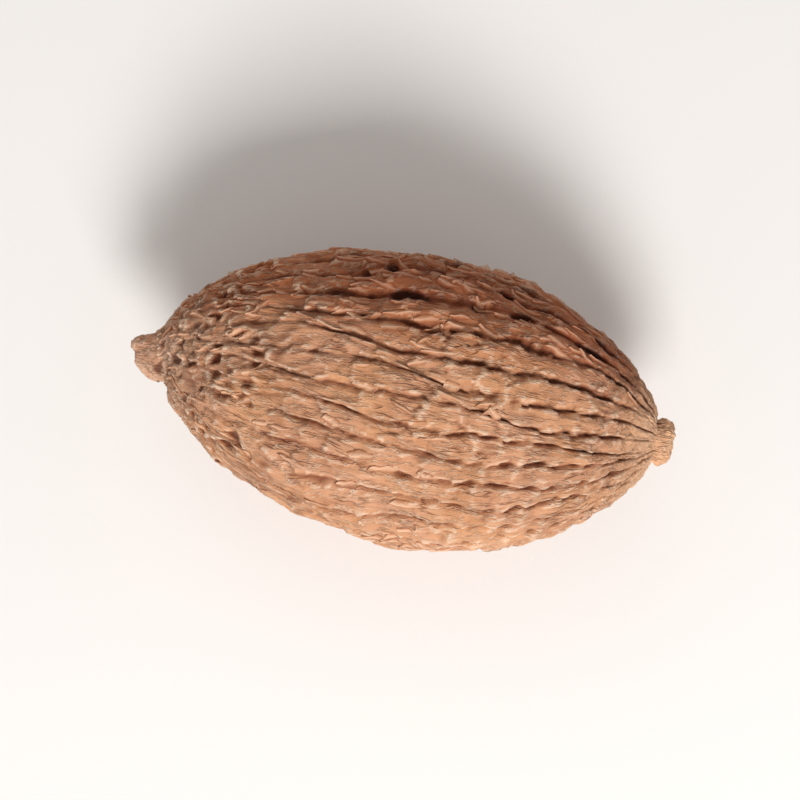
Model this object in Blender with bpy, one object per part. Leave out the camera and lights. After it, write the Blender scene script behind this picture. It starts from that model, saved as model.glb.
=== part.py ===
"""Amomum fruit: one dried seed pod lying on its side.

The husk, its long ridges and flat soft spines, the withered flower tip and the broken stalk stub
grew as one piece, so they are one closed skin in one object. Metres, +Z up. X runs along the pod,
from the flower tip at -X to the stalk stub at +X. The origin lies on the surface that the pod
rests on, under the middle of its box.
"""

import math

import bmesh
import bpy
from mathutils import Vector

MM = 0.001
FULL_TURN = 2 * math.pi

# Sizes along the pod, each measured from the end of the flower tip
POD_LENGTH = 21.0 * MM
HUSK_START = 0.9 * MM
HUSK_WIDEST = 11.3 * MM
HUSK_END = 20.55 * MM

# The husk's outline from above, with the ridges added on top of it
HUSK_RADIUS = 5.26 * MM
HUSK_FULLNESS = 0.65
DEPTH_TO_WIDTH = 0.94

# The withered flower tip and the stalk stub, both short and blunt
TIP_RADIUS = 0.92 * MM
TIP_RIM_RADIUS = 0.55 * MM
TIP_ROUNDING = 0.8 * MM
TIP_HOLLOW = 0.10 * MM
TIP_SLANT = 0.45
TIP_SLANT_LENGTH = 2.2 * MM
STUB_RADIUS = 0.93 * MM
STUB_RIM_RADIUS = 0.60 * MM
STUB_ROUNDING = 0.5 * MM
STUB_HOLLOW = 0.06 * MM
END_BLEND = 0.4 * MM
# The pinched neck behind the stub
NECK_AT = 20.26 * MM
NECK_SPREAD = 0.17 * MM
NECK_DEPTH = 0.26 * MM

# Three blunt angles round the pod, counted from straight up towards +Y
BLUNT_ANGLE_AT = math.radians(56)
BLUNT_ANGLE_RISE = 0.036

# The middle of the husk lies a little to +Y of the flower tip, and both ends droop
HUSK_ASIDE = 0.40 * MM
ASIDE_FROM, ASIDE_FULL, ASIDE_UNTIL = 0.6 * MM, 1.8 * MM, 13.0 * MM
END_DROOP = 0.30 * MM

# Shallow dents left by drying: rise, lobes round the pod, wavelength along it, start
DENTS = (
    (0.10 * MM, 2, 9.0 * MM, 0.4),
    (0.07 * MM, 5, 6.1 * MM, 2.9),
    (0.05 * MM, 9, 3.7 * MM, 5.0),
)

# Long ridges with creases between them, which gape along the +Y side of the stalk half
RIDGES = 32
RIDGE_RISE = 0.34 * MM
CROWN_POWER = 3
CREASE_LEAST = 0.15
CREASE_WAVES = (4.3 * MM, 2.6 * MM)
GAPE_AT = math.radians(52)
GAPE_SPREAD = math.radians(22)
GAPE_FROM, GAPE_FULL = 6.0 * MM, 11.0 * MM
GAPE_EXTRA = 0.8
# The ridges' wander round the pod: turn in radians, lobes round the pod, wavelength along it, start
WANDER = (
    (0.050, 3, 23.0 * MM, 0.2),
    (0.026, 7, 11.5 * MM, 1.3),
    (0.015, 13, 7.6 * MM, 4.1),
    (0.008, 23, 4.6 * MM, 2.2),
)

# Flat soft spines, one behind another along every ridge, with their free ends towards the flower tip
SPINE_RISE = 0.30 * MM
SPINE_LENGTH = 1.7 * MM
SPINE_LEAST = 0.25
SPINE_WARP = 0.22
SPINE_WARP_WAVE = 5.3 * MM
SPINES_FADE_FROM, SPINES_FADE_TO = 13.5 * MM, 19.0 * MM
SPINES_LEFT = 0.3
SPINES_CLOSER_AT_TIP = 1.5
TIP_CROWDING_LENGTH = 3.2 * MM
SPINE_ROOT_WIDTH = 0.47
SPINE_END_WIDTH = 0.22
SPINE_EDGE = 0.14
SPINE_DROP = 0.22
GOLDEN = 0.6180340
SILVER = 0.7548777

# How far the lowest ridges are pressed flat where the pod rests
AXIS_HEIGHT = 5.12 * MM

COLUMN_PLACES = (0.0, 0.27, 0.73)
ROWS = 62
ROW_CROWDING = 0.35
SLOPE_STEP = 0.02 * MM


def smooth_step(low, high, value):
    share = min(max((value - low) / (high - low), 0.0), 1.0)
    return share * share * (3 - 2 * share)


def smooth_max(a, b, blend):
    """The larger of two radii, rounded where they meet."""
    near = max(blend - abs(a - b), 0.0) / blend
    return max(a, b) + near**3 * blend / 6


def fraction(value):
    return value - math.floor(value)


def husk_radius(x):
    """A spindle, widest a little nearer to the stalk."""
    end = HUSK_START if x < HUSK_WIDEST else HUSK_END
    share = min((x - HUSK_WIDEST) / (end - HUSK_WIDEST), 1.0)
    return HUSK_RADIUS * (1 - share * share) ** HUSK_FULLNESS


def blunt_end_radius(from_end, radius, rim_radius, rounding):
    """A short round stump with a rounded rim, from_end metres behind its end."""
    share = max(1 - from_end / rounding, 0.0)
    rim_share = 1 - (rim_radius / radius) ** 2
    return radius * math.sqrt(1 - rim_share * share * share)


def pod_radius(x):
    tip = blunt_end_radius(x, TIP_RADIUS, TIP_RIM_RADIUS, TIP_ROUNDING)
    stub = blunt_end_radius(POD_LENGTH - x, STUB_RADIUS, STUB_RIM_RADIUS, STUB_ROUNDING)
    end = tip if x < HUSK_WIDEST else stub
    neck = NECK_DEPTH * math.exp(-(((x - NECK_AT) / NECK_SPREAD) ** 2))
    return smooth_max(husk_radius(x), end, END_BLEND) - neck


def dents(x, turn):
    """The skin's slow rise and fall, which fades with the radius towards both ends."""
    rise = sum(
        height * math.sin(lobes * turn + start) * math.sin(FULL_TURN * x / wave + start)
        for height, lobes, wave, start in DENTS
    )
    return rise * husk_radius(x) / HUSK_RADIUS


def bare_skin(x, turn):
    """A point of the husk without its ridges. turn is counted from straight up towards +Y."""
    angles = 1 + BLUNT_ANGLE_RISE * math.cos(3 * (turn - BLUNT_ANGLE_AT))
    radius = pod_radius(x) * angles + dents(x, turn)
    aside = HUSK_ASIDE * smooth_step(ASIDE_FROM, ASIDE_FULL, x)
    aside *= 1 - smooth_step(ASIDE_FULL, ASIDE_UNTIL, x)
    droop = END_DROOP * (2 * x / POD_LENGTH - 1) ** 2
    slanted = TIP_SLANT * (1 - smooth_step(0, TIP_SLANT_LENGTH, x))
    return Vector(
        (
            x + slanted * radius * (1 - math.sin(turn)),
            aside + radius * math.sin(turn),
            DEPTH_TO_WIDTH * radius * math.cos(turn) - droop,
        )
    )


def outward(x, turn):
    """The bare skin's normal at that point."""
    along = bare_skin(x + SLOPE_STEP, turn) - bare_skin(x - SLOPE_STEP, turn)
    angle_step = SLOPE_STEP / HUSK_RADIUS
    around = bare_skin(x, turn + angle_step) - bare_skin(x, turn - angle_step)
    return along.cross(around).normalized()


def wander(x, column_turn):
    """How far a ridge strays from a straight line from end to end, as a turn round the axis."""
    return sum(
        turn * math.sin(lobes * column_turn + FULL_TURN * x / wave + start)
        for turn, lobes, wave, start in WANDER
    )


def crease_depth(crease, x):
    """Share of the full depth: each crease runs shallow and deep in its own places."""
    own_start = fraction(crease * GOLDEN)
    waves = sum(math.sin(FULL_TURN * (x / wave + own_start)) for wave in CREASE_WAVES)
    return CREASE_LEAST + (1 - CREASE_LEAST) * (0.5 + 0.25 * waves)


def gape(x, column_turn):
    """How much deeper the creases are where the husk has shrunk most."""
    nearness = math.exp(-(((column_turn - GAPE_AT) / GAPE_SPREAD) ** 2))
    return 1 + GAPE_EXTRA * nearness * smooth_step(GAPE_FROM, GAPE_FULL, x)


def ridge_rise(x, phase):
    """Height of the ridges, 1 along a crown and near 0 in a crease. phase counts round the pod."""
    crease = round(phase) % RIDGES
    from_crown = abs(2 * fraction(phase) - 1)
    depth = crease_depth(crease, x) * gape(x, FULL_TURN * phase / RIDGES)
    return 1 - depth * from_crown**CROWN_POWER


def spine_rise(x, phase):
    """Height of the flat spines, each rising from its root to a blunt end towards the flower tip."""
    ridge = math.floor(phase) % RIDGES
    own_start = fraction(ridge * GOLDEN)
    crowded = SPINES_CLOSER_AT_TIP * math.exp(-x / TIP_CROWDING_LENGTH)
    uneven = SPINE_WARP * math.sin(FULL_TURN * (x / SPINE_WARP_WAVE + own_start))
    place = own_start - x / SPINE_LENGTH + crowded + uneven
    along = fraction(place)
    own_height = fraction((ridge + math.floor(place)) * SILVER + own_start)
    height = SPINE_LEAST + (1 - SPINE_LEAST) * own_height
    half_width = SPINE_ROOT_WIDTH + (SPINE_END_WIDTH - SPINE_ROOT_WIDTH) * along
    from_middle = abs(fraction(phase) - 0.5)
    across = 1 - smooth_step(half_width - SPINE_EDGE, half_width, from_middle)
    left = 1 - (1 - SPINES_LEFT) * smooth_step(SPINES_FADE_FROM, SPINES_FADE_TO, x)
    return left * height * across * along * (1 - smooth_step(1 - SPINE_DROP, 1, along))


def skin_point(x, phase):
    """A point of the finished skin, in the part's frame."""
    column_turn = FULL_TURN * phase / RIDGES
    turn = column_turn + wander(x, column_turn)
    fade = math.sqrt(husk_radius(x) / HUSK_RADIUS)
    rise = RIDGE_RISE * ridge_rise(x, phase) + SPINE_RISE * spine_rise(x, phase)
    return in_frame(bare_skin(x, turn) + outward(x, turn) * rise * fade)


def in_frame(point):
    """Moves a point from the pod's axis to the part's frame, pressed flat where the pod rests."""
    return Vector(
        (point.x - POD_LENGTH / 2, point.y, max(point.z + AXIS_HEIGHT, 0.0))
    )


def row_place(row):
    """Distance of a row from the flower tip. The rows lie closer where the pod narrows."""
    share = row / (ROWS - 1)
    crowded = (1 - math.cos(math.pi * share)) / 2
    return POD_LENGTH * (share + ROW_CROWDING * (crowded - share))


def end_middle(x):
    """The middle of a blunt end, a little hollow."""
    opposite = (bare_skin(x, 0) + bare_skin(x, math.pi)) / 2
    inwards = TIP_HOLLOW if x < HUSK_WIDEST else -STUB_HOLLOW
    return in_frame(opposite + Vector((inwards, 0, 0)))


def close_end(mesh, ring, middle):
    """Fans a ring of points in to the middle of its end. It runs clockwise, seen from outside."""
    centre = mesh.verts.new(middle)
    for i, point in enumerate(ring):
        mesh.faces.new((centre, ring[(i + 1) % len(ring)], point))


def pod_mesh():
    mesh = bmesh.new()
    phases = [ridge + place for ridge in range(RIDGES) for place in COLUMN_PLACES]
    rings = [
        [mesh.verts.new(skin_point(row_place(row), phase)) for phase in phases]
        for row in range(ROWS)
    ]
    for ring, following in zip(rings, rings[1:]):
        for i in range(len(ring)):
            j = (i + 1) % len(ring)
            mesh.faces.new((ring[i], ring[j], following[j], following[i]))
    close_end(mesh, rings[0], end_middle(0))
    close_end(mesh, rings[-1][::-1], end_middle(POD_LENGTH))
    centre_sideways(mesh)
    bmesh.ops.triangulate(mesh, faces=mesh.faces)
    bmesh.ops.recalc_face_normals(mesh, faces=mesh.faces)
    data = bpy.data.meshes.new("fruit")
    mesh.to_mesh(data)
    mesh.free()
    data.shade_smooth()
    return data


def centre_sideways(mesh):
    """Puts the middle of the pod's width on the origin."""
    sides = [point.co.y for point in mesh.verts]
    middle = (min(sides) + max(sides)) / 2
    for point in mesh.verts:
        point.co.y -= middle


def dried_husk():
    material = bpy.data.materials.new("dried_husk")
    material.use_nodes = True
    shader = material.node_tree.nodes["Principled BSDF"]
    shader.inputs["Base Color"].default_value = (0.42, 0.22, 0.125, 1)
    shader.inputs["Roughness"].default_value = 0.72
    shader.inputs["Metallic"].default_value = 0
    return material


def clear_scene():
    for old in list(bpy.data.objects):
        bpy.data.objects.remove(old)


def main():
    clear_scene()
    fruit = bpy.data.objects.new("fruit", pod_mesh())
    fruit.data.materials.append(dried_husk())
    bpy.context.scene.collection.objects.link(fruit)


main()
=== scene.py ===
"""A dried amomum pod that lies on its side on a pale table: its husk, loose flakes and torn stalk."""

import math

import bpy
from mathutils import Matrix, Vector


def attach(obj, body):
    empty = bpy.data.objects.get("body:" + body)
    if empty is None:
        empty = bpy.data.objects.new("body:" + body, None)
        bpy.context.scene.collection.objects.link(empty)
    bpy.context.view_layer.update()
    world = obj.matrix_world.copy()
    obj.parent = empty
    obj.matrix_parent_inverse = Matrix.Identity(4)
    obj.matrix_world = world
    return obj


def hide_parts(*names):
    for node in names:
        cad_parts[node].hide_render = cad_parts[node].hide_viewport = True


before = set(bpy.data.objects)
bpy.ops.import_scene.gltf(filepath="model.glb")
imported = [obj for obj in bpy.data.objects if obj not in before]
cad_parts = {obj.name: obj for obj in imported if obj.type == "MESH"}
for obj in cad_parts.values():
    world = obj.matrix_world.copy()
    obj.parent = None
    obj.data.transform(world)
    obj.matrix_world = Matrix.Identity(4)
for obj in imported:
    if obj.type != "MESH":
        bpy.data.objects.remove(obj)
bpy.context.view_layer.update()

# The husk
# The leathery skin of the dried seed pod, tan plant fibre that shrank into long ridges. It grew as one
# piece with its flat soft spines, the withered flower tip at -X and the broken stalk stub at +X.
# Sizes are in millimetres here, and lengths along the pod are counted from the end of the flower tip.

HUSK_SIZES = {
    "Pod length": 21.0,
    "Husk start": 0.9,
    "Husk widest": 11.3,
    "Husk end": 20.55,
    "Husk radius": 5.20,
    "Depth to width": 0.94,
    "Axis height": 5.12,
    "Ridges": 32.0,
    "Ridge rise": 0.25,
    "Lip rise": 0.11,
    "Spine rise": 0.16,
    "Spine length": 1.6,
    "Spine overhang": 0.10,
    "Plate rise": 0.10,
    "Plate tilt": 0.13,
    "Plate edge": 0.07,
    "Wrinkle rise": 0.09,
    "Fibre rise": 0.05,
    "Lump rise": 0.07,
    "Net rise": 0.07,
    "Pit depth": 0.24,
    "Bead rise": 0.055,
    "Grit rise": 0.055,
    "End lumps": 0.20,
}
FULL_TURN = 2 * math.pi
METRES_PER_MM = 0.001


class Workings:
    """A node tree that is filled in here."""

    def __init__(self, tree):
        self.tree = tree

    def node(self, kind, settings=None, inputs=None, output=0):
        """Adds a node, sets it up, wires or fills its sockets, and returns one of its outputs."""
        made = self.tree.nodes.new(kind)
        for name, value in (settings or {}).items():
            setattr(made, name, value)
        in_use = [socket for socket in made.inputs if socket.enabled]
        for name, value in (inputs or {}).items():
            socket = in_use[name] if isinstance(name, int) else next(s for s in in_use if s.name == name)
            if isinstance(value, Reading):
                self.tree.links.new(value.socket, socket)
            else:
                socket.default_value = value
        outputs = [socket for socket in made.outputs if socket.enabled]
        return Reading(self, outputs[output])

    def keep(self, geometry, name, value, data_type="FLOAT"):
        """Stores a value on the points of a mesh, and returns the mesh and the value read back."""
        stored = self.node(
            "GeometryNodeStoreNamedAttribute",
            {"data_type": data_type, "domain": "POINT"},
            {"Geometry": geometry, "Name": name, "Value": value},
        )
        return stored, self.kept(name, data_type)

    def kept(self, name, data_type="FLOAT"):
        """A value stored on a mesh, read while the mesh is shaped."""
        return self.node("GeometryNodeInputNamedAttribute", {"data_type": data_type}, {"Name": name})

    def seen(self, name, output=2):
        """A value stored on a mesh, read by its material. Output 1 gives a vector."""
        return self.node("ShaderNodeAttribute", {"attribute_name": name}, output=output)

    def spot(self):
        """Where each point of a mesh is."""
        return self.node("GeometryNodeInputPosition")

    def put(self, geometry, **where):
        """Puts the points of a mesh at a Position, or moves them by an Offset."""
        return self.node("GeometryNodeSetPosition", {}, {"Geometry": geometry, **where})

    def shifted(self, geometry, way):
        return self.node("GeometryNodeTransform", {}, {"Geometry": geometry, "Translation": way})

    def resized(self, geometry, factor):
        sizes = (factor, factor, factor)
        return self.node("GeometryNodeTransform", {}, {"Geometry": geometry, "Scale": sizes})


class Reading:
    """One output of a node tree. Sums written with it add the Math nodes that work them out."""

    def __init__(self, workings, socket):
        self.workings = workings
        self.socket = socket

    def __add__(self, other):
        return worked("ADD", self, other)

    def __radd__(self, other):
        return worked("ADD", other, self)

    def __sub__(self, other):
        return worked("SUBTRACT", self, other)

    def __rsub__(self, other):
        return worked("SUBTRACT", other, self)

    def __mul__(self, other):
        return worked("MULTIPLY", self, other)

    def __rmul__(self, other):
        return worked("MULTIPLY", other, self)

    def __truediv__(self, other):
        return worked("DIVIDE", self, other)

    def __rtruediv__(self, other):
        return worked("DIVIDE", other, self)

    def __pow__(self, other):
        return worked("POWER", self, other)

    def __mod__(self, other):
        return worked("FLOORED_MODULO", self, other)

    def __neg__(self):
        return worked("MULTIPLY", self, -1.0)


def worked(operation, *values):
    """A Math node's result."""
    workings = next(value.workings for value in values if isinstance(value, Reading))
    return workings.node("ShaderNodeMath", {"operation": operation}, dict(enumerate(values)))


def sine(value):
    return worked("SINE", value)


def cosine(value):
    return worked("COSINE", value)


def fraction(value):
    return worked("FRACT", value)


def soft_step(low, high, value):
    """Rises smoothly from 0 at low to 1 at high."""
    return value.workings.node(
        "ShaderNodeMapRange",
        {"interpolation_type": "SMOOTHSTEP"},
        {"Value": value, "From Min": low, "From Max": high},
    )


def stretch(marks, value):
    """Rises from 0 to 1 between the first two marks, and falls back to 0 between the last two."""
    rise_from, rise_to, fall_from, fall_to = marks
    return soft_step(rise_from, rise_to, value) * (1 - soft_step(fall_from, fall_to, value))


def vector_of(x, y, z):
    workings = next(value.workings for value in (x, y, z) if isinstance(value, Reading))
    return workings.node("ShaderNodeCombineXYZ", {}, {0: x, 1: y, 2: z})


def scaled(vector, factor):
    return vector.workings.node("ShaderNodeVectorMath", {"operation": "SCALE"}, {0: vector, "Scale": factor})


def added(first, second):
    """The sum of two vectors."""
    return first.workings.node("ShaderNodeVectorMath", {"operation": "ADD"}, {0: first, 1: second})


def part_of(vector, axis):
    return vector.workings.node("ShaderNodeSeparateXYZ", {}, {0: vector}, output=axis)


def drawn_out(share, x, place):
    """Shortens a place along the pod, so that a pattern on it is drawn out along the ridges."""
    return vector_of(share * x, part_of(place, 1), part_of(place, 2))


def noise(place, waves, detail=2.0, roughness=0.5):
    """Noise from 0 to 1, with its middle at 0.5, and so many waves in a unit of the place."""
    return place.workings.node(
        "ShaderNodeTexNoise",
        {},
        {"Vector": place, "Scale": waves, "Detail": detail, "Roughness": roughness},
    )


def swell(place, waves, detail=2.0, roughness=0.5):
    """Noise from -1 to 1."""
    return 2 * noise(place, waves, detail, roughness) - 1


def blotches(low, high, place, waves, detail=2.0, roughness=0.5):
    """Patches by chance: 0 where a noise is under low, 1 where it is over high."""
    return soft_step(low, high, noise(place, waves, detail, roughness))


def wrinkles(place, per_mm):
    """Thin sharp crests where a noise passes its middle, 1 on the crest."""
    return 1 - worked("MINIMUM", worked("ABSOLUTE", noise(place, per_mm) - 0.5) * 7, 1.0)


def cells(place, per_mm, output, feature="F1"):
    """Splits the skin into uneven cells. Output 0 is a distance, 1 a cell's colour and 2 its middle."""
    return place.workings.node(
        "ShaderNodeTexVoronoi", {"feature": feature}, {"Vector": place, "Scale": per_mm}, output=output
    )


# The plain form: a spindle with two blunt ends, three blunt angles round it, dents and drooping ends
HUSK_FULLNESS = 0.65
TIP_RADIUS, TIP_RIM_RADIUS, TIP_ROUNDING, TIP_HOLLOW = 0.92, 0.55, 0.8, 0.10
TIP_SLANT, TIP_SLANT_LENGTH = 0.45, 2.2
STUB_RADIUS, STUB_RIM_RADIUS, STUB_ROUNDING, STUB_HOLLOW = 0.93, 0.60, 0.5, 0.06
NECK_AT, NECK_SPREAD, NECK_DEPTH, NECK_FILLED_ABOVE = 20.26, 0.17, 0.26, 0.75
END_BLEND = 0.4
BLUNT_ANGLES, BLUNT_ANGLE_AT, BLUNT_ANGLE_RISE = 3, math.radians(56), 0.036
HUSK_ASIDE, ASIDE_STRETCH = 0.40, (0.6, 1.8, 1.8, 13.0)
END_DROOP = 0.30
# Dents: rise, lobes round the pod, wavelength along it, start
DENTS = ((0.10, 2, 9.0, 0.4), (0.07, 5, 6.1, 2.9), (0.05, 9, 3.7, 5.0))
# Wander of the ridges: turn in radians, lobes round the pod, wavelength along it, start
WANDER = ((0.050, 3, 23.0, 0.2), (0.026, 7, 11.5, 1.3), (0.015, 13, 7.6, 4.1), (0.008, 23, 4.6, 2.2))


def husk_radius(x, size):
    """A spindle, widest a little nearer to the stalk."""
    stalk_side = worked("GREATER_THAN", x, size["Husk widest"])
    end = size["Husk start"] + (size["Husk end"] - size["Husk start"]) * stalk_side
    share = worked("MINIMUM", (x - size["Husk widest"]) / (end - size["Husk widest"]), 1.0)
    return size["Husk radius"] * (1 - share * share) ** HUSK_FULLNESS


def blunt_end_radius(from_end, radius, rim_radius, rounding):
    """A short round stump with a rounded rim, from_end behind its end."""
    share = worked("MAXIMUM", 1 - from_end / rounding, 0.0)
    return radius * worked("SQRT", 1 - (1 - (rim_radius / radius) ** 2) * share * share)


def pod_radius(x, turn, size):
    """The spindle with its tip, its stub and the neck behind the stub, which is filled on its upper side."""
    stalk_side = worked("GREATER_THAN", x, size["Husk widest"])
    tip = blunt_end_radius(x, TIP_RADIUS, TIP_RIM_RADIUS, TIP_ROUNDING)
    stub = blunt_end_radius(size["Pod length"] - x, STUB_RADIUS, STUB_RIM_RADIUS, STUB_ROUNDING)
    end = tip + (stub - tip) * stalk_side
    from_neck = (x - NECK_AT) / NECK_SPREAD
    pinched = 1 - NECK_FILLED_ABOVE * worked("MAXIMUM", cosine(turn), 0.0)
    neck = NECK_DEPTH * worked("EXPONENT", -(from_neck * from_neck)) * pinched
    return worked("SMOOTH_MAX", husk_radius(x, size), end, END_BLEND) - neck


def wander(x, column_turn):
    """How far a ridge strays from a straight line from end to end, as a turn round the axis."""
    return sum(
        turn * sine(lobes * column_turn + FULL_TURN / wave * x + start)
        for turn, lobes, wave, start in WANDER
    )


def bare_skin(x, turn, inward, size):
    """The husk without its ridges. inward runs from 1 on the skin to 0 in the middle of an end."""
    slow_rise = sum(
        height * sine(lobes * turn + start) * sine(FULL_TURN / wave * x + start)
        for height, lobes, wave, start in DENTS
    )
    angles = 1 + BLUNT_ANGLE_RISE * cosine(BLUNT_ANGLES * (turn - BLUNT_ANGLE_AT))
    radius = pod_radius(x, turn, size) * angles + slow_rise * husk_radius(x, size) / size["Husk radius"]
    droop = END_DROOP * (2 * x / size["Pod length"] - 1) ** 2
    slanted = TIP_SLANT * (1 - soft_step(0, TIP_SLANT_LENGTH, x))
    stalk_side = worked("GREATER_THAN", x, size["Husk widest"])
    hollow = (1 - inward * inward) * (TIP_HOLLOW - (TIP_HOLLOW + STUB_HOLLOW) * stalk_side)
    sideways = inward * radius * sine(turn)
    return vector_of(
        x + slanted * (radius - sideways) + hollow,
        HUSK_ASIDE * stretch(ASIDE_STRETCH, x) + sideways,
        size["Depth to width"] * inward * radius * cosine(turn) - droop,
    )


# What changes along and round the pod. The +Y side of the stalk half has shrunk most and gapes, and the
# -Y side stays sound. The net of pits is near the flower tip, and the beads are in the stalk half.
GAPE_AT, GAPE_SPREAD = math.radians(52), math.radians(22)
GAPE_FROM, GAPE_FULL, GAPE_EXTRA = 4.5, 9.5, 1.2
SOUND_SIDE = (0.45, 1.0, 2.2, 2.8)
NET_FADE_FROM, NET_FADE_TO = 3.0, 8.5
RIDGED_STRETCH = (0.9, 1.9, 20.2, 20.7)
RIDGE_STRAY, ALONG_STRAY = 0.5, 0.45
STRAY_LESS, STRAY_LESS_FROM, STRAY_LESS_TO = 0.15, 14.0, 19.0


def gaping(x, column_turn):
    """1 where the husk has shrunk most."""
    away = (column_turn - GAPE_AT) / GAPE_SPREAD
    return worked("EXPONENT", -(away * away)) * soft_step(GAPE_FROM, GAPE_FULL, x)


def soundness(column_turn):
    """1 on the side where the skin is whole and its creases run evenly."""
    return stretch(SOUND_SIDE, -column_turn)


def nearness_to_tip(x):
    """1 at the flower tip, 0 from the middle of the pod on."""
    return 1 - soft_step(NET_FADE_FROM, NET_FADE_TO, x)


class SkinSpot:
    """A spot on the skin, with the readings that its relief follows."""

    def __init__(self, x, column_turn, inward, place, size):
        self.x, self.column_turn, self.inward, self.place = x, column_turn, inward, place
        self.near_tip = nearness_to_tip(x)
        self.shrunk = gaping(x, column_turn)
        self.sound = soundness(column_turn)
        self.ends = 1 - stretch(RIDGED_STRETCH, x)
        less = 1 - STRAY_LESS * soft_step(STRAY_LESS_FROM, STRAY_LESS_TO, x)
        self.stray = 0.5 * swell(place, 1.1, 3.0, 0.6) * less
        self.stray_x = x + ALONG_STRAY * swell(scaled(place, -1.0), 0.9, 3.0, 0.6)
        self.phase = size["Ridges"] / FULL_TURN * column_turn + RIDGE_STRAY * self.stray


# The creases between the ridges. Each runs full and shallow in its own places, some fade out before the
# stub, and the skin bridges them here and there.
CROWN_POWER, STALK_CROWN_POWER, SHRUNK_CROWN_POWER = 3.8, 3.0, 2.7
STALK_CROWN_FROM, STALK_CROWN_FULL = 12.0, 18.0
CREASE_LEAST, CREASE_WAVES = 0.5, (4.3, 2.6)
STALK_CREASE_EXTRA, STALK_CREASE_FROM, STALK_CREASE_FULL = 0.5, 13.0, 18.0
SHORT_CREASES, SHORT_CREASE_LOSS, SHORT_CREASE_FROM, SHORT_CREASE_TO = 0.30, 0.85, 18.0, 19.8
BRIDGE_RISE, SHRUNK_BRIDGE_EXTRA = 0.45, 0.35
TIP_CREASE_SHARE, TIP_CREASE_FROM, TIP_CREASE_TO = 0.25, 1.4, 3.6
STUB_CREASE_LOSS, STUB_CREASE_FROM, STUB_CREASE_TO = 0.55, 20.25, 20.5
SOUND_CREASE_EXTRA, SOUND_BRIDGES = 0.35, 0.7
BEAD_LENGTH, BEADS_FROM, BEADS_FULL, BEAD_STRAY, BEAD_IN_CREASE = 1.05, 10.0, 14.0, 1.4, 0.5
# Shares of a whole that give each ridge and spine a start or height of its own
GOLDEN, SILVER = 0.6180340, 0.7548777


def crease_depth(crease, x):
    """Share of the full depth: each crease runs shallow and deep in its own places."""
    own_start = fraction(crease * GOLDEN)
    waves = sum(sine(FULL_TURN * (x / wave + own_start)) for wave in CREASE_WAVES)
    depth = CREASE_LEAST + (1 - CREASE_LEAST) * (0.5 + 0.25 * waves)
    short = worked("LESS_THAN", own_start, SHORT_CREASES) * soft_step(SHORT_CREASE_FROM, SHORT_CREASE_TO, x)
    deeper = 1 + STALK_CREASE_EXTRA * soft_step(STALK_CREASE_FROM, STALK_CREASE_FULL, x)
    return depth * (1 - SHORT_CREASE_LOSS * short) * deeper


def crease_share(x, phase, column_turn, size):
    """How deep the skin lies below the crowns of the ridges, as a share of their rise."""
    crease = worked("ROUND", phase) % size["Ridges"]
    from_crown = worked("ABSOLUTE", 2 * fraction(phase) - 1)
    shrunk = gaping(x, column_turn)
    near_stalk = soft_step(STALK_CROWN_FROM, STALK_CROWN_FULL, x)
    power = CROWN_POWER + (STALK_CROWN_POWER - CROWN_POWER) * near_stalk
    power = power + (SHRUNK_CROWN_POWER - power) * shrunk
    return crease_depth(crease, x) * (1 + GAPE_EXTRA * shrunk) * from_crown**power


def open_runs(at):
    """1 along the runs where a crease keeps its depth, 0 where the skin bridges it."""
    runs = blotches(0.36, 0.54, drawn_out(-0.85, at.x, at.place), 0.75)
    gaps = blotches(0.46, 0.58, scaled(at.place, -1.0), 1.2, 1.0)
    return runs * (1 - SOUND_BRIDGES * at.sound) * (1 - at.shrunk * (1 - gaps))


def bead_row(at, size):
    """Swellings one after the other along each ridge of the stalk half, from -1 to 1."""
    own_start = fraction(worked("FLOOR", at.phase) % size["Ridges"] * SILVER)
    row = sine(FULL_TURN * (at.stray_x / BEAD_LENGTH + own_start + BEAD_STRAY * at.stray))
    return row * soft_step(BEADS_FROM, BEADS_FULL, at.x) * (1 - at.shrunk)


def crease_here(at, beads, size):
    """How deep the skin lies here, once bridges, beads and the two ends have made it shallower."""
    bridged = (BRIDGE_RISE + SHRUNK_BRIDGE_EXTRA * at.shrunk) * (1 - open_runs(at))
    at_tip = TIP_CREASE_SHARE + (1 - TIP_CREASE_SHARE) * soft_step(TIP_CREASE_FROM, TIP_CREASE_TO, at.x)
    at_stub = 1 - STUB_CREASE_LOSS * soft_step(STUB_CREASE_FROM, STUB_CREASE_TO, at.x)
    crease = crease_share(at.stray_x, at.phase, at.column_turn, size) * (1 - at.ends)
    crease = crease * (1 - BEAD_IN_CREASE * beads) * (1 - bridged)
    return crease * at_tip * at_stub * (1 + SOUND_CREASE_EXTRA * at.sound)


# The flat soft spines on the ridges, closer together near the flower tip and lower near the stalk
SPINE_LEAST, SPINE_WARP, SPINE_WARP_WAVE = 0.25, 0.22, 5.3
SPINES_FADE_FROM, SPINES_FADE_TO, SPINES_LEFT = 13.5, 19.0, 0.3
SPINES_CLOSER_AT_TIP, TIP_CROWDING_LENGTH = 1.5, 3.2
SPINE_ROOT_WIDTH, SPINE_END_WIDTH, SPINE_EDGE, SPINE_DROP = 0.47, 0.22, 0.14, 0.22


def spine_place(x, phase, size):
    """Counts the spines along their ridge, and the way along each, from its root to its free end."""
    own_start = fraction(worked("FLOOR", phase) % size["Ridges"] * GOLDEN)
    crowded = SPINES_CLOSER_AT_TIP * worked("EXPONENT", -x / TIP_CROWDING_LENGTH)
    uneven = SPINE_WARP * sine(FULL_TURN * (x / SPINE_WARP_WAVE + own_start))
    return own_start - x / size["Spine length"] + crowded + uneven


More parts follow.
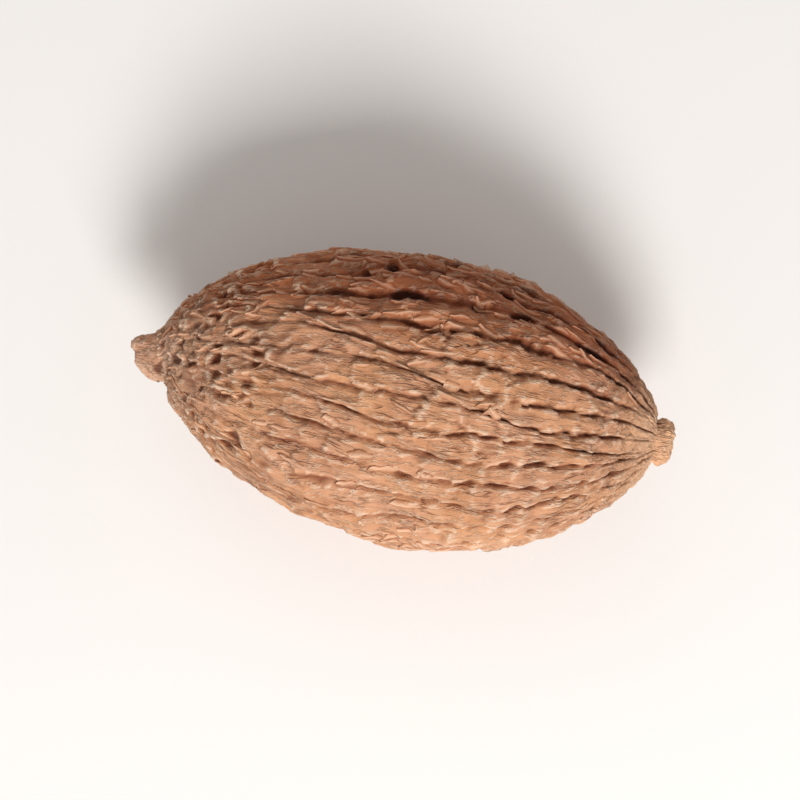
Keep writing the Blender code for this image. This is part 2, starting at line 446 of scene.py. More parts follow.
def spine_share(x, phase, size):
    """Height of the flat spines, each rising from its root to a blunt end towards the flower tip."""
    ridge = worked("FLOOR", phase) % size["Ridges"]
    place = spine_place(x, phase, size)
    along = fraction(place)
    own_height = fraction((ridge + worked("FLOOR", place)) * SILVER + fraction(ridge * GOLDEN))
    height = SPINE_LEAST + (1 - SPINE_LEAST) * own_height
    half_width = SPINE_ROOT_WIDTH + (SPINE_END_WIDTH - SPINE_ROOT_WIDTH) * along
    from_middle = worked("ABSOLUTE", fraction(phase) - 0.5)
    across = 1 - soft_step(half_width - SPINE_EDGE, half_width, from_middle)
    left = 1 - (1 - SPINES_LEFT) * soft_step(SPINES_FADE_FROM, SPINES_FADE_TO, x)
    return left * height * across * along * (1 - soft_step(1 - SPINE_DROP, 1, along))


# The torn plates of skin, the net with its pits, and the torn lips along the ridges
PLATE_STRETCH, PLATES_PER_MM, PLATE_EDGE_WIDTH, PLATES_LOST = 0.5, 1.15, 0.16, 0.6
NET_CELLS_PER_MM, NET_WALL, PIT_EDGE = 1.3, (0.02, 0.34), (0.08, 0.36)
PIT_LEAST, PIT_MORE, PITS_WHERE_SHRUNK = 0.22, 0.70, 0.25
LIP_AT, LIP_WIDTH = 0.66, 0.24


def plates(at, size):
    """Torn patches of skin, each higher towards the flower tip, with a step at its edge."""
    along = PLATE_STRETCH * at.stray_x
    uneven = vector_of(along, part_of(at.place, 1) + 0.5 * at.stray, part_of(at.place, 2) + 0.5 * at.stray)
    own_height = part_of(cells(uneven, PLATES_PER_MM, 1), 0)
    own_curl = part_of(cells(uneven, PLATES_PER_MM, 1), 1)
    towards_tip = part_of(cells(uneven, PLATES_PER_MM, 2), 0) - along
    from_edge = cells(uneven, PLATES_PER_MM, 0, "DISTANCE_TO_EDGE")
    height = size["Plate rise"] * (own_height - 0.5)
    height = height + size["Plate tilt"] * towards_tip * (0.3 + own_height)
    height = height + size["Plate edge"] * own_curl * (1 - soft_step(0.0, PLATE_EDGE_WIDTH, from_edge))
    return height * (1 - PLATES_LOST * soft_step(SPINES_FADE_FROM, SPINES_FADE_TO, at.x))


def net_and_pits(at):
    """The raised net near the flower tip, and the pits in its meshes."""
    strayed = vector_of(
        at.x + 0.5 * at.stray, part_of(at.place, 1) + 0.6 * at.stray, part_of(at.place, 2) - 0.6 * at.stray
    )
    from_wall = cells(strayed, NET_CELLS_PER_MM, 0, "DISTANCE_TO_EDGE")
    own_depth = soft_step(0.20, 0.80, part_of(cells(strayed, NET_CELLS_PER_MM, 1), 1))
    net = (1 - soft_step(*NET_WALL, from_wall)) * at.near_tip
    pit = soft_step(*PIT_EDGE, from_wall) * (PIT_LEAST + PIT_MORE * own_depth)
    return net, pit * (at.near_tip + PITS_WHERE_SHRUNK * at.shrunk)


def relief(at, crease, spine, beads, net, size):
    """How far the skin stands out of its plain form, before it thins towards the ends."""
    from_crown = worked("ABSOLUTE", 2 * fraction(at.phase) - 1)
    torn = blotches(0.40, 0.62, at.place, 2.3, 2.0, 0.6)
    lip = (1 - soft_step(0.0, LIP_WIDTH, worked("ABSOLUTE", from_crown - LIP_AT))) * torn
    long_ways = drawn_out(0.35, at.x, at.place)
    softer = 1 - 0.5 * at.near_tip
    rises = (
        size["Ridge rise"] * (1 - crease * softer - soft_step(20.0, 20.5, at.x)),
        size["Spine rise"] * spine,
        size["Lip rise"] * lip * (1 - at.near_tip),
        plates(at, size) * (1 - 0.5 * at.sound),
        size["Bead rise"] * beads,
        size["Wrinkle rise"] * (wrinkles(long_ways, 1.0) - 0.4) * softer,
        size["Fibre rise"] * swell(long_ways, 2.8, 3.0, 0.65) * softer,
        size["Lump rise"] * swell(drawn_out(0.6, at.x, at.place), 1.0),
        size["Net rise"] * (net - 0.5 * at.near_tip),
    )
    return sum(rises)


def grit(at, size):
    """Fine roughness, strongest at both ends, and the lumps that the bare ends have instead of ridges."""
    gritty = worked("MAXIMUM", 0.3 + 0.5 * at.near_tip, at.ends)
    fine = size["Grit rise"] * swell(at.place, 4.2, 2.0, 0.6) * gritty
    return fine + size["End lumps"] * (noise(at.place, 1.9, 3.0, 0.65) - 0.52) * 2 * at.ends


# The skin's mesh, with its rows closer together towards the ends, where the pod narrows
SKIN_COLUMNS, SKIN_ROWS, END_RINGS = 480, 198, 5
ROW_CROWDING = 0.35
# Patterns lie on a straight tube, except at the ends, where they lie on the pod's own form
STRAIGHT_STRETCH = (0.9, 4.5, 17.2, 20.7)
# Relief that is left where the pod narrows
STUB_RELIEF, STUB_RELIEF_FROM, STUB_RELIEF_TO = 0.34, 19.0, 19.8
TIP_PITS, TIP_PITS_FROM, TIP_PITS_TO = 0.42, 2.0, 5.0
# The relief is smoothed in rounds, to find what stands proud of the skin round it
SMOOTHING_ROUNDS, LEAST_FADE = 6, 0.45


def husk_skin(tree, size):
    """The whole skin, from a plain tube with closed ends."""
    tube = tree.node(
        "GeometryNodeMeshCylinder",
        {"fill_type": "TRIANGLE_FAN"},
        {
            "Vertices": SKIN_COLUMNS,
            "Side Segments": SKIN_ROWS,
            "Fill Segments": END_RINGS,
            "Radius": 1.0,
            "Depth": 1.0,
        },
    )
    across, up, height = (part_of(tree.spot(), axis) for axis in range(3))
    share = height + 0.5
    crowded = (1 - cosine(math.pi * share)) / 2
    skin, x = tree.keep(tube, "along", size["Pod length"] * (share + ROW_CROWDING * (crowded - share)))
    skin, column_turn = tree.keep(skin, "column_turn", worked("ARCTAN2", across, up))
    skin, inward = tree.keep(skin, "inward", worked("SQRT", across * across + up * up))
    around = size["Husk radius"]
    straight = vector_of(x, around * sine(column_turn), around * cosine(column_turn))
    bare = bare_skin(x, column_turn + wander(x, column_turn), inward, size)
    unrolled = tree.node(
        "ShaderNodeMix",
        {"data_type": "VECTOR"},
        {"Factor": 1 - stretch(STRAIGHT_STRETCH, x), "A": straight, "B": bare},
    )
    skin, place = tree.keep(skin, "fibre_place", unrolled, "FLOAT_VECTOR")

    at = SkinSpot(x, column_turn, inward, place, size)
    beads = bead_row(at, size)
    skin, crease = tree.keep(skin, "crease", crease_here(at, beads, size))
    skin, spine = tree.keep(skin, "spine", spine_share(at.stray_x, at.phase, size))
    skin, _ = tree.keep(skin, "shrunk", at.shrunk)
    skin = tree.put(skin, Position=bare)
    skin, outward = tree.keep(skin, "outward", tree.node("GeometryNodeInputNormal"), "FLOAT_VECTOR")

    net, pits = net_and_pits(at)
    skin, pits = tree.keep(skin, "pits", pits)
    narrowing = worked("SQRT", husk_radius(x, size) / size["Husk radius"])
    on_stub = STUB_RELIEF * soft_step(STUB_RELIEF_FROM, STUB_RELIEF_TO, x) * inward
    fade = worked("MAXIMUM", narrowing, on_stub)
    on_tip = TIP_PITS * (1 - soft_step(TIP_PITS_FROM, TIP_PITS_TO, x)) * inward
    pit_fade = worked("MAXIMUM", fade, on_tip)
    rise = relief(at, crease, spine, beads, net, size) * fade
    rise = rise - size["Pit depth"] * pits * pit_fade + grit(at, size)
    skin, rise = tree.keep(skin, "rise", rise)
    smoothed = tree.node(
        "GeometryNodeBlurAttribute",
        {"data_type": "FLOAT"},
        {"Value": rise, "Iterations": SMOOTHING_ROUNDS},
    )
    skin, _ = tree.keep(skin, "proud", (rise - smoothed) / worked("MAXIMUM", fade, LEAST_FADE))

    towards_tip = vector_of(-(size["Spine overhang"] * spine * fade), 0.0, 0.0)
    skin = tree.put(skin, Offset=added(scaled(outward, rise), towards_tip))
    return pressed_flat(tree, skin, size)


def pressed_flat(tree, skin, size):
    """Puts the pod in its place: along X, in the middle of its width, pressed flat where it rests."""
    across, up = part_of(tree.spot(), 1), part_of(tree.spot(), 2)
    lowest = worked("MAXIMUM", up, -size["Axis height"])
    skin = tree.put(skin, Position=vector_of(part_of(tree.spot(), 0), across, lowest))
    low, high = (tree.node("GeometryNodeBoundBox", {}, {"Geometry": skin}, output=end) for end in (1, 2))
    middle = (part_of(low, 1) + part_of(high, 1)) / 2
    skin = tree.shifted(skin, vector_of(size["Pod length"] / -2, -middle, size["Axis height"]))
    return tree.resized(skin, METRES_PER_MM)


def grown(name, sizes, shape, material, ground=None, smooth=True):
    """Makes one piece of the pod with Geometry Nodes, on another piece if one is given."""
    mesh = ground.data.copy() if ground else bpy.data.meshes.new(name)
    piece = bpy.data.objects.new(name, mesh)
    bpy.context.scene.collection.objects.link(piece)
    tree = bpy.data.node_groups.new(name, "GeometryNodeTree")
    tree.interface.new_socket("Geometry", in_out="INPUT", socket_type="NodeSocketGeometry")
    tree.interface.new_socket("Geometry", in_out="OUTPUT", socket_type="NodeSocketGeometry")
    identifiers = {
        label: tree.interface.new_socket(label, in_out="INPUT", socket_type="NodeSocketFloat").identifier
        for label in sizes
    }
    workings = Workings(tree)
    entry = tree.nodes.new("NodeGroupInput")
    given = {label: Reading(workings, entry.outputs[label]) for label in sizes}
    if ground:
        shaped = shape(workings, given, Reading(workings, entry.outputs["Geometry"]))
    else:
        shaped = shape(workings, given)
    real = workings.node("GeometryNodeRealizeInstances", {}, {"Geometry": shaped})
    shaded = workings.node("GeometryNodeSetShadeSmooth", {}, {"Geometry": real, "Shade Smooth": smooth})
    finished = workings.node("GeometryNodeSetMaterial", {}, {"Geometry": shaded, "Material": material})
    leave = tree.nodes.new("NodeGroupOutput")
    tree.links.new(finished.socket, leave.inputs["Geometry"])
    modifier = piece.modifiers.new(name, "NODES")
    modifier.node_group = tree
    for label, value in sizes.items():
        modifier[identifiers[label]] = value
    evaluated = piece.evaluated_get(bpy.context.evaluated_depsgraph_get())
    plain = bpy.data.meshes.new_from_object(evaluated)
    piece.modifiers.clear()
    piece.data = plain
    plain.name = name
    return piece


def linear(red, green, blue):
    """A colour as the eye reads it, 0 to 255, turned into the light that it stands for."""
    shares = [value / 255 for value in (red, green, blue)]
    light = [((share + 0.055) / 1.055) ** 2.4 if share > 0.04045 else share / 12.92 for share in shares]
    return (*light, 1.0)


def blended(factor, under, over):
    """Lays one colour over another."""
    return factor.workings.node(
        "ShaderNodeMix",
        {"data_type": "RGBA", "clamp_factor": True},
        {"Factor": factor, "A": under, "B": over},
    )


def coated(colour, *coats):
    """Lays coats over a colour, one after the other. Each is how far it covers, and its own colour."""
    for cover, over in coats:
        colour = blended(cover, colour, over)
    return colour


def painted(name, paint):
    """Makes a material whose Principled shader is filled in by paint."""
    material = bpy.data.materials.new(name)
    material.use_nodes = True
    shader = material.node_tree.nodes["Principled BSDF"]
    paint(Workings(material.node_tree), shader)
    return material


def wire(shader, name, reading):
    reading.workings.tree.links.new(reading.socket, shader.inputs[name])


DRY_SHINE = 0.25


def dry_surface(shader, colour, roughness, grain, strength, depth):
    """A dull dry surface with a fine grain. depth is how deep the grain looks, in metres."""
    wire(shader, "Base Color", colour)
    wire(shader, "Roughness", roughness)
    bump = {"Strength": strength, "Distance": depth, "Height": grain}
    wire(shader, "Normal", grain.workings.node("ShaderNodeBump", {}, bump))
    shader.inputs["Specular IOR Level"].default_value = DRY_SHINE


TAN = linear(208, 155, 121)
OCHRE = linear(210, 155, 115)
GREY_BROWN = linear(154, 102, 74)
STREAK_BROWN = linear(138, 80, 48)
# Painted shade for hollows, creases, pits and the shreds' roots and edges; the fibre's thin dark lines use
# it too
SHADE_AND_LINE_BROWN = linear(112, 50, 20)
# Painted shade, the darkest, for deep pits and the gaping creases
PAINTED_DEEP_SHADE = linear(56, 20, 8)
# The shrunk band's darker stain, partly painted shade of that side
STAIN_AND_SHADE_BROWN = linear(122, 54, 26)
PAINTED_SHADE_RUSSET = linear(174, 94, 48)
PALE_EDGE = linear(236, 206, 180)
STUB_CREAM = linear(232, 186, 148)
BEAK_PALE = linear(222, 180, 152)
# Painted shade: the +Y side, turned from the main lamp, is laid redder and darker, standing in for light
# bounced from other pods
PAINTED_SHADE_SIDE, PAINTED_SHADE_COVER = (0.15, 1.0, 1.9, 2.7), 0.72
STREAK_STRETCH = 0.22
DUSTY_SHEEN = {"Sheen Weight": 0.15, "Sheen Roughness": 0.4, "Sheen Tint": (1.0, 0.84, 0.70, 1.0)}


def lines(place, per_mm, thin):
    """Thin wavy lines, 1 on the line."""
    return 1 - soft_step(0.0, thin, worked("ABSOLUTE", noise(place, per_mm, 3.0, 0.6) - 0.5))


def fibre_colour(tree, fibre_place):
    """Tan dried fibre with warmer and greyer patches, lengthways streaks, and painted shade: a redder,
    darker +Y side.
    """
    x = part_of(fibre_place, 0)
    greyer = 0.25 + 0.6 * (1 - soft_step(1.5, 9.0, x))
    patches = blotches(0.42, 0.62, scaled(fibre_place, -1.0), 0.55, 4.0, 0.65)
    streaks = blotches(0.52, 0.72, drawn_out(STREAK_STRETCH, x, fibre_place), 2.6, 4.0, 0.7)
    return coated(
        TAN,
        (blotches(0.40, 0.62, fibre_place, 0.35, 3.0, 0.6), OCHRE),
        (patches * greyer, GREY_BROWN),
        # Painted shade, redder and darker, on the +Y side
        (stretch(PAINTED_SHADE_SIDE, tree.seen("column_turn")) * PAINTED_SHADE_COVER, PAINTED_SHADE_RUSSET),
        (streaks * 0.45, STREAK_BROWN),
    )


def dried_fibre(tree, shader):
    """The husk: painted shade in hollows, creases and pits, a painted highlight on raised edges, pale at
    both ends, streaked lengthways.
    """
    fibre_place = tree.seen("fibre_place", 1)
    crease, proud, shrunk, pits = (tree.seen(name) for name in ("crease", "proud", "shrunk", "pits"))
    x = part_of(fibre_place, 0)
    long_ways = drawn_out(STREAK_STRETCH, x, fibre_place)
    dark_lines = lines(long_ways, 1.9, 0.035) * blotches(0.40, 0.60, fibre_place, 0.8)
    pale_lines = lines(scaled(long_ways, -1.0), 2.6, 0.03)
    mottle = blotches(0.40, 0.60, fibre_place, 2.4, 3.0, 0.6)
    # Painted highlight: pale on edges that stand proud of the skin round them, more near the flower tip,
    # less on the shrunk band
    raised_edge_highlight = soft_step(0.015, 0.075, proud) * (0.62 - 0.4 * shrunk + 0.25 * nearness_to_tip(x))
    stub = soft_step(18.4, 20.3, x) * (1 - 0.75 * soft_step(0.1, 0.6, crease))
    beak = (1 - soft_step(1.1, 3.2, x)) * (0.35 + 0.5 * mottle)
    colour = coated(
        fibre_colour(tree, fibre_place),
        (pale_lines * 0.35, PALE_EDGE),
        # The shrunk band is laid darker and redder, partly its own stain and partly painted shade, most in
        # its creases
        (shrunk * (0.4 + 0.55 * soft_step(0.04, 0.4, crease)), STAIN_AND_SHADE_BROWN),
        (raised_edge_highlight, PALE_EDGE),
        # Painted shade in hollows that lie below the skin round them, along the creases and in the pits; the
        # thin dark lines between are a pattern of the fibre
        (soft_step(0.0, 0.09, -proud) * 0.5, SHADE_AND_LINE_BROWN),
        (dark_lines * 0.45, SHADE_AND_LINE_BROWN),
        (soft_step(0.22, 0.85, crease) * (0.56 + 0.44 * shrunk), SHADE_AND_LINE_BROWN),
        (soft_step(0.1, 0.75, pits) * 0.85, SHADE_AND_LINE_BROWN),
        # Darkest painted shade in deep pits and in the gaping creases of the shrunk band
        (soft_step(0.55, 1.0, pits) * 0.45, PAINTED_DEEP_SHADE),
        (soft_step(0.25, 0.8, crease) * shrunk * 0.9, PAINTED_DEEP_SHADE),
        (stub * (0.55 + 0.4 * mottle), STUB_CREAM),
        (beak * (1 - 0.7 * pits), BEAK_PALE),
    )
    grain = noise(long_ways, 9.0, 4.0, 0.7) + 0.6 * noise(fibre_place, 14.0, 2.0, 0.6)
    grain = grain + 0.8 * pale_lines - 1.2 * dark_lines
    dry_surface(shader, colour, 0.74 + 0.2 * noise(fibre_place, 3.0), grain, 0.8, 0.00007)
    for name, value in DUSTY_SHEEN.items():
        shader.inputs[name].default_value = value


husk = grown("husk", HUSK_SIZES, husk_skin, painted("dried_fibre", dried_fibre))
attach(husk, "root")
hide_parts("fruit")

# The flaking skin
# Paper-thin shreds of the outermost skin and the dried free ends of the soft spines. They hang on to the
# husk by their roots, lie along the ridges and point to the flower tip, with a painted highlight on their
# crests, strongest at the torn tips, and painted shade at their roots and edges.

FLAKE_SIZES = {
    "Flake length": 0.95,
    "Flake width": 0.38,
    "Flake height": 0.09,
    "Depth in skin": 0.04,
    "Tip lift": 0.02,
    "Raggedness": 0.11,
    "Flakes to a square mm": 12.0,
    "Least distance": 0.33,
}
# Kinds of flake: sideways bend, width left at its tip, slant of its tip, how sharp a crest it has
FLAKE_KINDS = (
    (-0.24, 0.25, 0.5, 1.0),
    (0.12, 0.30, -0.3, 0.8),
    (0.30, 0.20, 0.4, 0.9),
    (0.04, 0.65, -0.6, 0.25),
    (-0.10, 0.50, 0.6, 0.5),
)
FLAKE_SEED = 3
# Flakes grow clear of the creases, in clumps and crowds, and above the table
FLAKE_STRETCH = (1.3, 2.0, 19.3, 19.9)
CREASE_CLEAR = (0.25, 0.60)
CLUMP_LEAST, CLUMP_MORE = 0.02, 0.18
CROWD_AT_TIP, CROWD_WHERE_SHRUNK = 0.3, 0.5
FEWER_FROM, FEWER_TO, FEWER_AT_STALK, FEWER_WHERE_SOUND = 14.0, 19.0, 0.5, 0.6
FLAKES_ABOVE = 0.35
PAST_BEAK = (0.8, 1.8)
LOOK_DOWN_FROM, LOOK_DOWN_TO = 0.8, 2.4


def flake(tree, size, bend, tip_width, slant, crest):
    """One shred, from its root at 0 to its torn tip along +X, before it is laid on the skin."""
    block = tree.node(
        "GeometryNodeMeshCube",
        {},
        {"Size": (1.0, 1.0, 1.0), "Vertices X": 5, "Vertices Y": 3, "Vertices Z": 2},
    )
    spot = tree.spot()
    block, to_tip = tree.keep(block, "to_tip", part_of(spot, 0) + 0.5)
    sideways, upper = 2 * part_of(spot, 1), part_of(spot, 2) + 0.5
    narrowing = (1 - (1 - tip_width) * to_tip**2.5) * (0.45 + 0.55 * soft_step(0.0, 0.4, to_tip))
    half_width = size["Flake width"] / 2 * narrowing
    profile = (0.45 + 0.55 * crest) - crest * sideways * sideways
    crown = size["Flake height"] * (0.3 + 0.7 * to_tip) * profile
    block, _ = tree.keep(block, "crest", upper * (1 - sideways * sideways))
    lift = size["Tip lift"] * to_tip * to_tip
    block, _ = tree.keep(block, "above_skin", (upper * crown) + lift - size["Depth in skin"] * (1 - upper))
    length = size["Flake length"]
    shaped = vector_of(
        length * to_tip * (1 + slant * sideways * to_tip * 0.2),
        half_width * sideways + bend * length * to_tip * to_tip,
        0.0,
    )
    return tree.node("GeometryNodeGeometryToInstance", {}, {"Geometry": tree.put(block, Position=shaped)})


def chance(tree, low, high, seed):
    """A number by chance for each shred or fibre."""
    between = {"Min": low, "Max": high, "Seed": seed}
    return tree.node("FunctionNodeRandomValue", {"data_type": "FLOAT"}, between)


def frayed(tree, geometry, per_mm, width):
    """Moves each point a little by chance, within a cube of this width."""
    pattern = {"Vector": tree.spot(), "Scale": per_mm, "Detail": 1.0}
    stray = tree.node("ShaderNodeTexNoise", {}, pattern, output=1)
    return tree.put(geometry, Offset=scaled(added(stray, (-0.5, -0.5, -0.5)), width))


def laid_on(tree, shreds, ground):
    """Lays every point of the shreds on the skin below it, and then lifts it by its own height."""
    outward, spot = tree.kept("outward", "FLOAT_VECTOR"), tree.spot()
    looking = {
        "Target Geometry": ground,
        "Source Position": added(spot, scaled(outward, LOOK_DOWN_FROM)),
        "Ray Direction": scaled(outward, -1.0),
        "Ray Length": LOOK_DOWN_TO,
    }
    met, skin_below = (tree.node("GeometryNodeRaycast", {}, looking, output=number) for number in (0, 1))
    choice = {"Switch": met, "False": spot, "True": skin_below}
    base = tree.node("GeometryNodeSwitch", {"input_type": "VECTOR"}, choice)
    return tree.put(shreds, Position=added(base, scaled(outward, tree.kept("above_skin"))))


def flake_share(tree, x, turn):
    """How many flakes grow at a place, as a share of the most: in clumps, and on the crowns alone."""
    place, shrunk = tree.kept("fibre_place", "FLOAT_VECTOR"), tree.kept("shrunk")
    clumps = CLUMP_LEAST + CLUMP_MORE * blotches(0.48, 0.64, place, 0.5)
    crowd = worked("MAXIMUM", CROWD_AT_TIP * nearness_to_tip(x), CROWD_WHERE_SHRUNK * shrunk)
    on_crowns = (1 - soft_step(*CREASE_CLEAR, tree.kept("crease"))) * stretch(FLAKE_STRETCH, x)
    on_side = worked("GREATER_THAN", tree.kept("inward"), 0.95)
    off_table = worked("GREATER_THAN", part_of(tree.spot(), 2), FLAKES_ABOVE)
    share = on_crowns * on_side * (clumps + crowd * (1 - clumps))
    share = share * (1 - FEWER_AT_STALK * soft_step(FEWER_FROM, FEWER_TO, x))
    return share * (1 - FEWER_WHERE_SOUND * soundness(turn)) * off_table


def flaking_skin(tree, size, husk_mesh):
    """Shreds scattered over the crowns of the ridges, each turned to lie along its ridge."""
    ground = tree.resized(husk_mesh, 1 / METRES_PER_MM)
    x, turn = tree.kept("along"), tree.kept("column_turn")
    points = tree.node(
        "GeometryNodeDistributePointsOnFaces",
        {"distribute_method": "POISSON"},
        {
            "Mesh": ground,
            "Distance Min": size["Least distance"],
            "Density Max": size["Flakes to a square mm"],
            "Density Factor": flake_share(tree, x, turn),
            "Seed": FLAKE_SEED,
        },
    )
    joined = tree.tree.nodes.new("GeometryNodeJoinGeometry")
    for kind in reversed(FLAKE_KINDS):
        tree.tree.links.new(flake(tree, size, *kind).socket, joined.inputs[0])

    near_tip = nearness_to_tip(x)
    near_stalk = soft_step(FEWER_FROM, FEWER_TO, x)
    past_beak = soft_step(*PAST_BEAK, x)
    swerve = chance(tree, -0.24, 0.24, 1) * (1 + near_tip * past_beak)
    to_tip = vector_of(-1.0, swerve * cosine(turn), -(swerve * sine(turn)))
    lying = tree.node(
        "FunctionNodeAxesToRotation",
        {"primary_axis": "Z", "secondary_axis": "X"},
        {"Primary Axis": tree.kept("outward", "FLOAT_VECTOR"), "Secondary Axis": to_tip},
    )
    kinds = {"Min": 0, "Max": len(FLAKE_KINDS) - 1, "Seed": 5}
    small = (0.62 + 0.38 * (1 - near_tip)) * (1 - 0.35 * near_stalk) * (1.25 - 0.25 * past_beak)
    scale = vector_of(
        small * chance(tree, 0.50, 1.20, 2) * (1 + 0.7 * near_stalk),
        small * chance(tree, 0.70, 1.30, 3),
        1.0,
    )
    placed = tree.node(
        "GeometryNodeInstanceOnPoints",
        {},
        {
            "Points": points,
            "Instance": Reading(tree, joined.outputs[0]),
            "Pick Instance": True,
            "Instance Index": tree.node("FunctionNodeRandomValue", {"data_type": "INT"}, kinds),
            "Rotation": lying,
            "Scale": scale,
        },
    )
    real = tree.node("GeometryNodeRealizeInstances", {}, {"Geometry": placed})
    ragged = frayed(tree, real, 3.1, size["Raggedness"] * 2)
    return tree.resized(laid_on(tree, ragged, ground), METRES_PER_MM)


def torn_fibre(tree, shader):
    """The shreds: the husk's own tan, with painted shade at the root and along the edges, and a painted
    highlight on the crest that grows towards the torn tip.
    """
    fibre_place = tree.seen("fibre_place", 1)
    to_tip, crest, shrunk = (tree.seen(name) for name in ("to_tip", "crest", "shrunk"))
    # Painted highlight along each shred's crest, stronger towards its torn tip
    pale = soft_step(0.35, 1.0, crest) * (0.25 + 0.4 * to_tip) * (1 - 0.4 * shrunk)
    colour = coated(
        fibre_colour(tree, fibre_place),
        # Darker stain and painted shade on the shrunk band
        (shrunk * 0.45, STAIN_AND_SHADE_BROWN),
        # Painted shade along each shred's edges and underside, and at its root
        ((1 - soft_step(0.0, 0.6, crest)) * 0.45, SHADE_AND_LINE_BROWN),
        ((1 - soft_step(0.0, 0.45, to_tip)) * 0.2, SHADE_AND_LINE_BROWN),
        (pale, PALE_EDGE),
    )
    grain = noise(tree.node("ShaderNodeTexCoord", {}, output=3), 9000.0, 3.0, 0.7)
    dry_surface(shader, colour, 0.74 + 0.2 * noise(fibre_place, 3.0), grain, 0.7, 0.00005)


flakes = grown("flakes", FLAKE_SIZES, flaking_skin, painted("torn_fibre", torn_fibre), husk, smooth=False)
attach(flakes, "root")

# The torn stalk
# The end of the fruit stalk, where it was pulled off the plant: a bundle of pale wood fibres that broke at
# different lengths. They grew out of the stub and are bent a little outwards by the pull.

STALK_SIZES = {
    "Bundle radius": 0.62,
    "Fibre length": 0.42,
    "Fibre radius": 0.12,
    "Longest past end": 0.12,
    "Shorter at rim": 0.16,
}
STALK_FIBRES = 60
BEND_OUT, BEND_BY_CHANCE = 0.12, 0.2
FIBRE_TAPER, FIBRE_RAGGEDNESS = 0.6, 0.16
# The stub's end is all of the husk past this plane, in metres from the pod's middle
STUB_PLANE = 0.0104
stub = [vertex.co for vertex in husk.data.vertices if vertex.co.x > STUB_PLANE]
STUB_END = tuple(1 / METRES_PER_MM * sum(co[axis] for co in stub) / len(stub) for axis in range(3))


def stalk_fibres(tree, size):
    """Tapered fibres in a bundle, close packed as the seeds of a sunflower are."""
    points = tree.node("GeometryNodePoints", {}, {"Count": STALK_FIBRES})
    number = tree.node("GeometryNodeInputIndex")
    out = worked("SQRT", (number + 0.5) / STALK_FIBRES)
    turn = number * (FULL_TURN * GOLDEN)
    sideways, up = out * sine(turn), out * cosine(turn)
    past_end = size["Longest past end"] * chance(tree, 0.0, 1.0, 6) - size["Shorter at rim"] * out * out
    root = vector_of(
        past_end - size["Fibre length"], size["Bundle radius"] * sideways, size["Bundle radius"] * up
    )
    lean = vector_of(
        1.0,
        BEND_OUT * sideways + chance(tree, -BEND_BY_CHANCE, BEND_BY_CHANCE, 7),
        BEND_OUT * up + chance(tree, -BEND_BY_CHANCE, BEND_BY_CHANCE, 8),
    )
    fibre = tree.node(
        "GeometryNodeMeshCone",
        {"fill_type": "TRIANGLE_FAN"},
        {
            "Vertices": 6,
            "Side Segments": 3,
            "Radius Top": size["Fibre radius"] * FIBRE_TAPER,
            "Radius Bottom": size["Fibre radius"],
            "Depth": size["Fibre length"],
        },
    )
    placed = tree.node(
        "GeometryNodeInstanceOnPoints",
        {},
        {
            "Points": tree.put(points, Position=root),
            "Instance": fibre,
            "Rotation": tree.node("FunctionNodeAlignRotationToVector", {"axis": "Z"}, {"Vector": lean}),
            "Scale": vector_of(1.0, chance(tree, 0.5, 1.2, 9), 1.0),
        },
    )
    real = tree.node("GeometryNodeRealizeInstances", {}, {"Geometry": placed})
    bent = frayed(tree, real, 4.0, FIBRE_RAGGEDNESS)
    bent, _ = tree.keep(bent, "past_end", part_of(tree.spot(), 0))
    return tree.resized(tree.shifted(bent, STUB_END), METRES_PER_MM)


def pale_wood(tree, shader):
    """Cream wood fibre, browner towards the husk."""
    past_end = tree.seen("past_end")
    spot = scaled(tree.node("ShaderNodeTexCoord", {}, output=3), 1 / METRES_PER_MM)
    colour = coated(
        STUB_CREAM,
        (blotches(0.35, 0.65, spot, 2.2, 3.0, 0.6), TAN),
        ((1 - soft_step(-0.35, 0.0, past_end)) * 0.5, STREAK_BROWN),
    )
    dry_surface(shader, colour, 0.7 + 0.25 * noise(spot, 4.0), noise(spot, 12.0, 3.0, 0.7), 0.6, 0.00004)


stalk = grown("stalk_fibres", STALK_SIZES, stalk_fibres, painted("pale_wood", pale_wood), smooth=False)
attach(stalk, "root")

# The table
# A plain pale table top under the pod, smooth off-white laminate. The pod only rests on it, and it is
# not part of the pod.

TABLE_SIDE = 1.2
LAMINATE, LAMINATE_PALER = (0.87, 0.865, 0.865, 1.0), (0.90, 0.895, 0.895, 1.0)


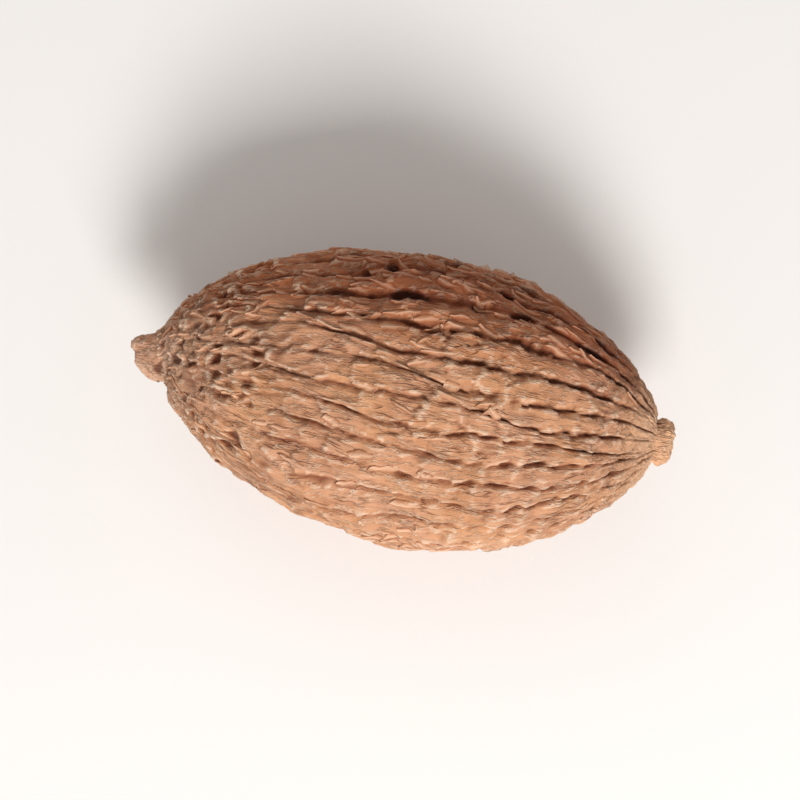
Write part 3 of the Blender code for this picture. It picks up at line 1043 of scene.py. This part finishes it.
def table_white(tree, shader):
    """Off-white, very slightly mottled."""
    mottle = noise(tree.node("ShaderNodeTexCoord", {}, output=3), 30.0)
    wire(shader, "Base Color", blended(mottle, LAMINATE, LAMINATE_PALER))
    shader.inputs["Roughness"].default_value = 0.6


bpy.ops.mesh.primitive_plane_add(size=TABLE_SIDE)
table = bpy.context.object
table.name = "table"
table.data.materials.append(painted("table_white", table_white))

# Light and camera
# A broad soft lamp half way up at the bottom of the picture, a weak one opposite, and a pale sky. The
# camera looks straight down, turned so that the pod's stalk end points a little down the picture.

PICTURE_TURN = math.radians(9.3)
PICTURE_WIDTH = 0.0305
CAMERA_LENS = 150
POD_MIDDLE = Vector((0, 0, 0.005))
SKY_COLOUR, SKY_STRENGTH = (1.0, 0.95, 0.90, 1.0), 0.41


def lamp(name, watts, side, place, colour=(1, 1, 1)):
    """A square soft lamp that shines at the pod."""
    light = bpy.data.lights.new(name, "AREA")
    light.energy, light.size, light.color = watts, side, colour
    stand = bpy.data.objects.new(name, light)
    stand.location = place
    stand.rotation_euler = (POD_MIDDLE - Vector(place)).to_track_quat("-Z", "Y").to_euler()
    bpy.context.scene.collection.objects.link(stand)


lamp("main_lamp", 0.57, 0.10, (0.055, -0.165, 0.175), (1.0, 0.97, 0.94))
lamp("weak_lamp", 0.05, 0.20, (-0.10, 0.17, 0.16))

world = bpy.data.worlds.new("pale_sky")
world.use_nodes = True
world.node_tree.nodes["Background"].inputs["Color"].default_value = SKY_COLOUR
world.node_tree.nodes["Background"].inputs["Strength"].default_value = SKY_STRENGTH
bpy.context.scene.world = world
bpy.context.scene.view_settings.view_transform = "Standard"

camera = bpy.data.objects.new("camera", bpy.data.cameras.new("camera"))
camera.data.lens = CAMERA_LENS
camera_height = PICTURE_WIDTH * CAMERA_LENS / camera.data.sensor_width
camera.data.clip_start = camera_height / 100
camera.data.clip_end = 100 * camera_height
camera.location = (0, 0, POD_MIDDLE.z + camera_height)
camera.rotation_euler = (0, 0, PICTURE_TURN)
bpy.context.scene.collection.objects.link(camera)
bpy.context.scene.camera = camera
